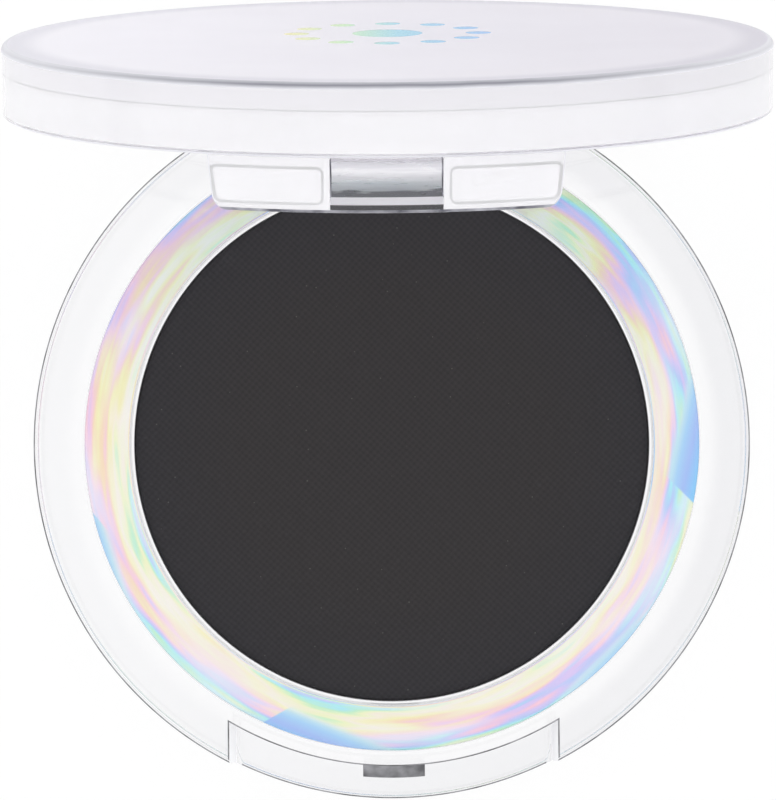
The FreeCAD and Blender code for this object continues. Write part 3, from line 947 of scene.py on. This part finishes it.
# Holographic foil laminated to card: pale interference colours in streaks that follow the ring
def holographic_foil_card(colours):
    material, tree = start_material("holographic_foil_card")
    flat = in_mm(tree, flat=True)
    split = add(tree, "ShaderNodeSeparateXYZ", {0: flat})
    radius = add(tree, "ShaderNodeVectorMath", {0: flat}, operation="LENGTH")
    heading = add(tree, "ShaderNodeVectorMath", {0: flat}, operation="NORMALIZE")
    towards = add(tree, "ShaderNodeSeparateXYZ", {0: heading})
    across = add(tree, "ShaderNodeMapRange", {
        "Value": radius, "From Min": PAN_HIGH.x, "From Max": FILM_HIGH.x})

    def streaks(around, outwards, detail):
        """Noise drawn out along the ring: how fast it changes around it and across it."""
        spread = add(tree, "ShaderNodeVectorMath", {0: heading, "Scale": around}, operation="SCALE")
        lift = add(tree, "ShaderNodeMath", {0: across, 1: outwards}, operation="MULTIPLY")
        offset = add(tree, "ShaderNodeCombineXYZ", {"Z": lift})
        place = add(tree, "ShaderNodeVectorMath", {0: spread, 1: offset}, operation="ADD")
        return add(tree, "ShaderNodeTexNoise", {"Vector": place, "Scale": 1.0, "Detail": detail})

    # The colours run from cyan at the pan over yellow and pink to blue at the rim, and drift at the back
    inner_order = 0.66
    orders_across = 1.0
    ripple_height = 1.3
    order = add(tree, "ShaderNodeMath", {0: across, 1: orders_across, 2: inner_order},
                operation="MULTIPLY_ADD")
    freedom = add(tree, "ShaderNodeMapRange", {
        "Value": towards.outputs["Y"], "From Min": -0.5, "From Max": 0.5, "To Min": 0.7, "To Max": 3.5})
    wander = add(tree, "ShaderNodeMath", {0: streaks(1.3, 0.5, 1.0), 1: 0.5}, operation="SUBTRACT")
    drift = add(tree, "ShaderNodeMath", {0: wander, 1: freedom, 2: order}, operation="MULTIPLY_ADD")
    flutter = add(tree, "ShaderNodeMath", {0: streaks(2.2, 4.0, 2.0), 1: 0.5}, operation="SUBTRACT")
    ripple = add(tree, "ShaderNodeMath", {0: flutter, 1: ripple_height, 2: drift}, operation="MULTIPLY_ADD")
    cycle = add(tree, "ShaderNodeMath", {0: ripple}, operation="FRACT")
    spectrum = add(tree, "ShaderNodeValToRGB", {"Fac": cycle}, stops=FOIL_COLOURS)
    glare = add(tree, "ShaderNodeMapRange", {
        "Value": streaks(2.0, 2.2, 1.0), "From Min": 0.42, "From Max": 0.68,
        "To Min": 0.15, "To Max": 0.65})
    shade = add(tree, "ShaderNodeMix", {"Factor": glare, "A": spectrum, "B": colours.film_white},
                data_type="RGBA")

    def along(direction):
        """How far a place lies along a direction from the middle, in millimetres."""
        turn = math.radians(direction)
        part = add(tree, "ShaderNodeMath", {0: split.outputs["X"], 1: math.cos(turn)}, operation="MULTIPLY")
        return add(tree, "ShaderNodeMath", {0: split.outputs["Y"], 1: math.sin(turn), 2: part},
                   operation="MULTIPLY_ADD")

    def past(distance, line, softness):
        """1 past a line across the disc, 0 before it."""
        return add(tree, "ShaderNodeMapRange", {
            "Value": distance, "From Min": line - softness, "From Max": line + softness},
            interpolation_type="SMOOTHSTEP")

    patch_width = 1.5
    crease_softness = 0.25
    end_softness = 0.05
    for crease_turn, crease, end_turn, end in CREASES:
        depth = along(crease_turn)
        beyond = past(depth, crease, crease_softness)
        before = past(along(end_turn), end, end_softness)
        inside = add(tree, "ShaderNodeMath", {0: beyond, 1: before}, operation="MULTIPLY")
        sheen = add(tree, "ShaderNodeMapRange", {
            "Value": depth, "From Min": crease, "From Max": crease + patch_width})
        patch = add(tree, "ShaderNodeValToRGB", {"Fac": sheen}, stops=PATCH_COLOURS)
        shade = add(tree, "ShaderNodeMix", {"Factor": inside, "A": shade, "B": patch}, data_type="RGBA")
    rim_glow = add(tree, "ShaderNodeMapRange", {
        "Value": across, "From Min": 0.22, "From Max": 0.02, "To Min": 0.0, "To Max": 0.9},
        interpolation_type="SMOOTHSTEP")
    finished = add(tree, "ShaderNodeMix", {"Factor": rim_glow, "A": shade, "B": colours.film_white},
                   data_type="RGBA")
    # Painted shade of the standing lid: the foil darker and bluer towards the back
    painted_lid_shade = add(tree, "ShaderNodeValToRGB", {"Fac": towards.outputs["Y"]},
                  stops=[(0.1, "F4F5F7"), (0.8, "DDECF4")])
    with_lid_shade = add(tree, "ShaderNodeMix", {"Factor": 1.0, "A": finished, "B": painted_lid_shade},
                 data_type="RGBA", blend_type="MULTIPLY")
    shader = add(tree, "ShaderNodeBsdfPrincipled", {"Base Color": with_lid_shade, "Metallic": 1.0, "Roughness": 0.3})
    add(tree, "ShaderNodeOutputMaterial", {"Surface": shader})
    return material


# Mica and talc pressed under a cloth: a soft dark matte with the cloth's marks, a fine grain and some glints
def pressed_powder(colours, at):
    material, tree = start_material("pressed_powder")
    place = in_mm(tree)
    # A wave texture of scale 1 repeats every pi / 10
    wave_scale = math.pi / 10 / at.weave_pitch
    threads = []
    for turn in (math.radians(42), math.radians(-48)):
        thread = add(tree, "ShaderNodeTexWave", {
            "Vector": in_mm(tree, turn, flat=True), "Scale": wave_scale, "Distortion": 1.2, "Detail": 2.0,
            "Detail Scale": 1.5}, wave_type="BANDS", bands_direction="X")
        threads.append(thread.outputs["Fac"])
    weave = add(tree, "ShaderNodeMath", {0: threads[0], 1: threads[1]}, operation="ADD")
    grain_size = 0.09
    grain_share = 0.9
    grain = add(tree, "ShaderNodeTexNoise", {"Vector": place, "Scale": 1 / grain_size, "Detail": 3.0})
    height = add(tree, "ShaderNodeMath", {0: grain, 1: grain_share, 2: weave}, operation="MULTIPLY_ADD")
    bump = add(tree, "ShaderNodeBump", {"Height": height, "Strength": 0.5, "Distance": 0.02 * MM})
    radius = add(tree, "ShaderNodeVectorMath", {0: in_mm(tree, flat=True)}, operation="LENGTH")
    towards_edge = add(tree, "ShaderNodeMapRange", {
        "Value": radius, "From Min": POWDER_HIGH.x * 0.6, "From Max": POWDER_HIGH.x})
    body = add(tree, "ShaderNodeMix", {
        "Factor": towards_edge, "A": colours.powder, "B": colours.powder_edge}, data_type="RGBA")
    # Painted light and shade: the raised threads lighter, the grooves darker
    painted_thread_light = add(tree, "ShaderNodeMapRange", {
        "Value": height, "From Min": 0.5, "From Max": 2.2, "To Min": 0.9, "To Max": 1.14})
    shaded = add(tree, "ShaderNodeVectorMath", {0: body, "Scale": painted_thread_light}, operation="SCALE")
    # Glints are drawn a few times their real size, so that single ones show
    glint_spacing = 0.8
    spots = add(tree, "ShaderNodeTexVoronoi", {"Vector": place, "Scale": 1 / glint_spacing})
    glint = add(tree, "ShaderNodeMapRange", {
        "Value": spots.outputs["Distance"], "From Min": 0.05, "From Max": 0.035,
        "To Min": 0.0, "To Max": 0.22})
    flecked = add(tree, "ShaderNodeMix", {"Factor": glint, "A": shaded, "B": linear("8F8C88")},
                  data_type="RGBA")
    shader = add(tree, "ShaderNodeBsdfPrincipled", {
        "Base Color": flecked, "Roughness": 0.85, "Specular IOR Level": 0.2, "Normal": bump})
    add(tree, "ShaderNodeOutputMaterial", {"Surface": shader})
    return material


# Drawn tinplate: bright satin metal with faint rings from the drawing tool
def drawn_tinplate(colours):
    material, tree = start_material("drawn_tinplate")
    line_size = 0.05
    line_length = 5.0
    stretch = add(tree, "ShaderNodeMapping", {
        "Vector": in_mm(tree), "Scale": (1 / line_length, 1 / line_length, 1 / line_size)})
    lines = add(tree, "ShaderNodeTexNoise", {"Vector": stretch, "Scale": 1.0, "Detail": 3.0})
    gloss = add(tree, "ShaderNodeMapRange", {"Value": lines, "To Min": 0.22, "To Max": 0.42})
    bump = add(tree, "ShaderNodeBump", {"Height": lines, "Strength": 0.1, "Distance": 0.01 * MM})
    shader = add(tree, "ShaderNodeBsdfPrincipled", {
        "Base Color": colours.tin, "Metallic": 1.0, "Roughness": gloss, "Normal": bump})
    add(tree, "ShaderNodeOutputMaterial", {"Surface": shader})
    return material


# Uncoated label paper: matte white with short fibres
def label_paper(colours):
    material, tree = start_material("label_paper")
    fibre_length = 0.8
    stretch = add(tree, "ShaderNodeMapping", {"Vector": in_mm(tree), "Scale": (1.0, 3.0, 1.0)})
    fibres = add(tree, "ShaderNodeTexNoise", {
        "Vector": stretch, "Scale": 1 / fibre_length, "Detail": 4.0, "Distortion": 0.8})
    white = add(tree, "ShaderNodeValToRGB", {"Fac": fibres}, stops=[(0.35, "E8E6E0"), (0.6, colours.paper)])
    bump = add(tree, "ShaderNodeBump", {"Height": fibres, "Strength": 0.2, "Distance": 0.02 * MM})
    shader = add(tree, "ShaderNodeBsdfPrincipled", {"Base Color": white, "Roughness": 0.8, "Normal": bump})
    add(tree, "ShaderNodeOutputMaterial", {"Surface": shader})
    return material


# Double-sided tissue tape: cream with a cloudy, slightly glossy adhesive
def tissue_tape(colours):
    material, tree = start_material("tissue_tape")
    cloud_size = 0.9
    cloud = add(tree, "ShaderNodeTexNoise", {"Vector": in_mm(tree), "Scale": 1 / cloud_size, "Detail": 3.0})
    cream = add(tree, "ShaderNodeValToRGB", {"Fac": cloud}, stops=[(0.35, "DDD8C6"), (0.65, colours.tape)])
    gloss = add(tree, "ShaderNodeMapRange", {"Value": cloud, "To Min": 0.35, "To Max": 0.6})
    shader = add(tree, "ShaderNodeBsdfPrincipled", {"Base Color": cream, "Roughness": gloss})
    add(tree, "ShaderNodeOutputMaterial", {"Surface": shader})
    return material


# Drawn steel wire: bright metal with fine lines along the pin
def drawn_steel_wire(colours):
    material, tree = start_material("drawn_steel_wire")
    line_size = 0.06
    line_length = 5.0
    stretch = add(tree, "ShaderNodeMapping", {
        "Vector": in_mm(tree), "Scale": (1 / line_length, 1 / line_size, 1 / line_size)})
    lines = add(tree, "ShaderNodeTexNoise", {"Vector": stretch, "Scale": 1.0, "Detail": 2.0})
    gloss = add(tree, "ShaderNodeMapRange", {"Value": lines, "To Min": 0.15, "To Max": 0.35})
    shader = add(tree, "ShaderNodeBsdfPrincipled", {
        "Base Color": colours.steel, "Metallic": 1.0, "Roughness": gloss})
    add(tree, "ShaderNodeOutputMaterial", {"Surface": shader})
    return material


# Hot-stamped foil: a bright metal whose colour runs from yellow green to blue across the lid
def hot_stamped_foil():
    material, tree = start_material("hot_stamped_foil")
    place = in_mm(tree)
    split = add(tree, "ShaderNodeSeparateXYZ", {0: place})
    reach = 5.0
    across = add(tree, "ShaderNodeMapRange", {
        "Value": split.outputs["X"], "From Min": -reach, "From Max": reach})
    run = add(tree, "ShaderNodeValToRGB", {"Fac": across}, stops=[
        (0.0, "F1E9A0"),
        (0.3, "BFE8B4"),
        (0.55, "7FCFE8"),
        (1.0, "6FB2F0"),
    ])
    grain_size = 0.25
    grain = add(tree, "ShaderNodeTexNoise", {"Vector": place, "Scale": 1 / grain_size, "Detail": 3.0})
    gloss = add(tree, "ShaderNodeMapRange", {"Value": grain, "To Min": 0.18, "To Max": 0.34})
    shader = add(tree, "ShaderNodeBsdfPrincipled", {"Base Color": run, "Metallic": 1.0, "Roughness": gloss})
    add(tree, "ShaderNodeOutputMaterial", {"Surface": shader})
    return material


class COMPACT_OT_clear_base(bpy.types.Operator):
    """Models and finishes the clear base"""

    bl_idname = "compact.clear_base"
    bl_label = "Clear base"

    def execute(self, context):
        at = in_millimetres(context.scene.compact_sizes)
        colours = context.scene.compact_colours
        base = clear_base_shape(at)
        finish_base_faces(base, at)
        # The base's tint greys towards the outer wall and the right as painted shade; its parted edges are
        # grey lines of painted shade
        clear = polished_clear_styrene("base", 1.0, colours.clear_base, colours.deep_clear)
        edges = parted_shade_styrene("base_edges", "525256", "909094")
        sides = etched_shaded_styrene("notch_sides", 0.0, "F6F6F8", "FEFEFF")
        finish_piece(base, "clear_base", [clear, edges, sides], "base", "base_shell")
        return {"FINISHED"}


class COMPACT_OT_lid(bpy.types.Operator):
    """Models and finishes the lid and its foil rosette"""

    bl_idname = "compact.lid"
    bl_label = "Lid"

    def execute(self, context):
        at = in_millimetres(context.scene.compact_sizes)
        colours = context.scene.compact_colours
        lid = lid_shape(at)
        finish_lid_faces(lid, at)
        # Painted shade: the face greys towards its rim and the right; the parted, rolled and satin finishes
        # paint shade and a highlight
        clear = polished_clear_styrene("tab", 1.0, colours.clear_lid)
        milky = polished_clear_styrene("lid", 0.5, colours.clear_lid)
        edges = parted_shade_styrene("lid_edges", "53535D", "AAAAB2")
        inside = etched_shaded_styrene("lid_inside", 0.0, "FCFBFE", colours.etched_plastic)
        face = etched_shaded_styrene("lid_face", 0.3, "ECEAEF", colours.frosted_plastic, "F1F1F3")
        finishes = [clear, edges, inside, satin_shaded_styrene(at), face, rolled_shade_styrene(at), milky]
        finish_piece(lid, "clear_lid", finishes, "lid", "lid_shell", closed_lid=True)
        # The foil fills its seats but for a hair
        ease = 0.005
        foil = round_plates(rosette_dots(), at.lid_top - at.rosette_recess + ease, at.lid_top - ease, ease)
        finish_piece(foil, "foil_rosette", [hot_stamped_foil()], "lid", "lid_rosette",
                     closed_lid=True)
        return {"FINISHED"}


class COMPACT_OT_shimmer_film(bpy.types.Operator):
    """Models and finishes the shimmer disc under the base"""

    bl_idname = "compact.shimmer_film"
    bl_label = "Shimmer film"

    def execute(self, context):
        at = in_millimetres(context.scene.compact_sizes)
        foil = holographic_foil_card(context.scene.compact_colours)
        finish_piece(film_shape(at), "shimmer_film", [foil], "base", "shimmer_disc")
        return {"FINISHED"}


class COMPACT_OT_pan_and_powder(bpy.types.Operator):
    """Models and finishes the tin pan and its cake of powder"""

    bl_idname = "compact.pan_and_powder"
    bl_label = "Pan and powder"

    def execute(self, context):
        at = in_millimetres(context.scene.compact_sizes)
        colours = context.scene.compact_colours
        finish_piece(pan_shape(at), "tin_pan", [drawn_tinplate(colours)], "base", "powder_pan")
        finish_piece(cake_shape(), "powder_cake", [pressed_powder(colours, at)], "base",
                     "pressed_powder")
        return {"FINISHED"}


class COMPACT_OT_small_pieces(bpy.types.Operator):
    """Finishes the label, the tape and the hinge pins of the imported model"""

    bl_idname = "compact.small_pieces"
    bl_label = "Small pieces"

    def execute(self, context):
        colours = context.scene.compact_colours
        wire = drawn_steel_wire(colours)
        dress("bottom_label", label_paper(colours))
        dress("pan_adhesive", tissue_tape(colours))
        dress("hinge_pin_left", wire)
        dress("hinge_pin_right", wire)
        return {"FINISHED"}


def light_the_room(world):
    """Even white light from all sides; clear and shiny surfaces also see a grey line at the horizon."""
    world.use_nodes = True
    tree = world.node_tree
    tree.nodes.clear()
    heading = add(tree, "ShaderNodeTexCoord").outputs["Generated"]
    split = add(tree, "ShaderNodeSeparateXYZ", {0: heading})
    lift = add(tree, "ShaderNodeMapRange", {
        "Value": split.outputs["Z"], "From Min": 0.05, "From Max": 0.3}, interpolation_type="SMOOTHSTEP")
    front = add(tree, "ShaderNodeMapRange", {
        "Value": split.outputs["Y"], "From Min": -0.7, "From Max": -0.95}, interpolation_type="SMOOTHSTEP")
    back = add(tree, "ShaderNodeMapRange", {
        "Value": split.outputs["Y"], "From Min": -0.2, "From Max": 0.6}, interpolation_type="SMOOTHSTEP")
    behind = add(tree, "ShaderNodeMix", {"Factor": back, "A": linear("D0D0D4"), "B": linear("6A6A70")},
                 data_type="RGBA")
    horizon = add(tree, "ShaderNodeMix", {"Factor": front, "A": behind, "B": linear("58585C")},
                  data_type="RGBA")
    seen = add(tree, "ShaderNodeMix", {"Factor": lift, "A": horizon, "B": WHITE}, data_type="RGBA")
    path = add(tree, "ShaderNodeLightPath")
    looks = add(tree, "ShaderNodeMath", {
        0: path.outputs["Is Glossy Ray"], 1: path.outputs["Is Transmission Ray"]}, operation="MAXIMUM")
    even_light = (1.09, 1.09, 1.09, 1)
    shade = add(tree, "ShaderNodeMix", {"Factor": looks, "A": even_light, "B": seen}, data_type="RGBA")
    light = add(tree, "ShaderNodeBackground", {"Color": shade, "Strength": 1.1})
    add(tree, "ShaderNodeOutputWorld", {"Surface": light})


def white_floor(colours):
    """Matte white paint that camera, mirrors and glass see almost evenly lit, with a trace of shadow."""
    material, tree = start_material("white_floor")
    path = add(tree, "ShaderNodeLightPath")
    looks = add(tree, "ShaderNodeMath", {
        0: path.outputs["Is Glossy Ray"], 1: path.outputs["Is Transmission Ray"]}, operation="MAXIMUM")
    seen = add(tree, "ShaderNodeMath", {0: looks, 1: path.outputs["Is Camera Ray"]}, operation="MAXIMUM")
    even_share = 0.9
    share = add(tree, "ShaderNodeMath", {0: seen, 1: even_share}, operation="MULTIPLY")
    paint = add(tree, "ShaderNodeBsdfDiffuse", {"Color": colours.floor})
    even = add(tree, "ShaderNodeEmission", {"Color": WHITE, "Strength": 1.0})
    mixed = add(tree, "ShaderNodeMixShader", {0: share, 1: paint, 2: even})
    add(tree, "ShaderNodeOutputMaterial", {"Surface": mixed})
    return material


class COMPACT_OT_stage(bpy.types.Operator):
    """Sets the floor, the light and the camera"""

    bl_idname = "compact.stage"
    bl_label = "Stage"

    def execute(self, context):
        scene = context.scene
        scene.view_settings.view_transform = "Standard"
        scene.world = bpy.data.worlds.new("soft_white_room")
        light_the_room(scene.world)

        # The floor lies a hair below the base, so that no two faces coincide
        floor_drop = 0.05 * MM
        floor_reach = 2.0
        shape = bmesh.new()
        bmesh.ops.create_grid(shape, x_segments=1, y_segments=1, size=floor_reach)
        bmesh.ops.translate(shape, verts=shape.verts, vec=(0, 0, -floor_drop))
        floor = scratch(shape)
        floor.name = "floor"
        floor.data.materials.append(white_floor(scene.compact_colours))

        # Light crosses many clear walls before it leaves the plastic
        scene.cycles.blur_glossy = 0.0
        scene.cycles.max_bounces = 32
        scene.cycles.diffuse_bounces = 16
        scene.cycles.glossy_bounces = 16
        scene.cycles.transmission_bounces = 32

        # Almost straight down, from a little to the right of the point that it looks at
        camera = bpy.data.cameras.new("camera")
        camera.sensor_fit = "VERTICAL"
        camera.sensor_height = 24.0
        camera.lens = 162.3
        camera.clip_start = 0.01
        holder = bpy.data.objects.new("camera", camera)
        aim_x = -0.2 * MM
        aim_y = 2.25 * MM
        side_step = 1.3 * MM
        roll = math.radians(0.4)
        lean = math.atan2(side_step, scene.compact_sizes.camera_height)
        holder.location = (aim_x + side_step, aim_y, scene.compact_sizes.camera_height)
        holder.rotation_euler = (0, lean, -roll)
        scene.collection.objects.link(holder)
        scene.camera = holder
        return {"FINISHED"}


class COMPACT_PT_pieces(bpy.types.Panel):
    """Lists the compact's pieces and its stage"""

    bl_idname = "COMPACT_PT_pieces"
    bl_label = "Compact"
    bl_space_type = "VIEW_3D"
    bl_region_type = "UI"
    bl_category = "Compact"

    def draw(self, context):
        for operator in OPERATORS:
            self.layout.operator(operator.bl_idname)


OPERATORS = (
    COMPACT_OT_clear_base,
    COMPACT_OT_lid,
    COMPACT_OT_shimmer_film,
    COMPACT_OT_pan_and_powder,
    COMPACT_OT_small_pieces,
    COMPACT_OT_stage,
)
CLASSES = (CompactSizes, CompactColours, *OPERATORS, COMPACT_PT_pieces)


def register():
    for kind in CLASSES:
        bpy.utils.register_class(kind)
    bpy.types.Scene.compact_sizes = PointerProperty(type=CompactSizes)
    bpy.types.Scene.compact_colours = PointerProperty(type=CompactColours)


def unregister():
    del bpy.types.Scene.compact_colours
    del bpy.types.Scene.compact_sizes
    for kind in reversed(CLASSES):
        bpy.utils.unregister_class(kind)


def main():
    register()
    bpy.ops.compact.clear_base()
    bpy.ops.compact.lid()
    bpy.ops.compact.shimmer_film()
    bpy.ops.compact.pan_and_powder()
    bpy.ops.compact.small_pieces()
    bpy.ops.compact.stage()


if __name__ == "__main__":
    main()
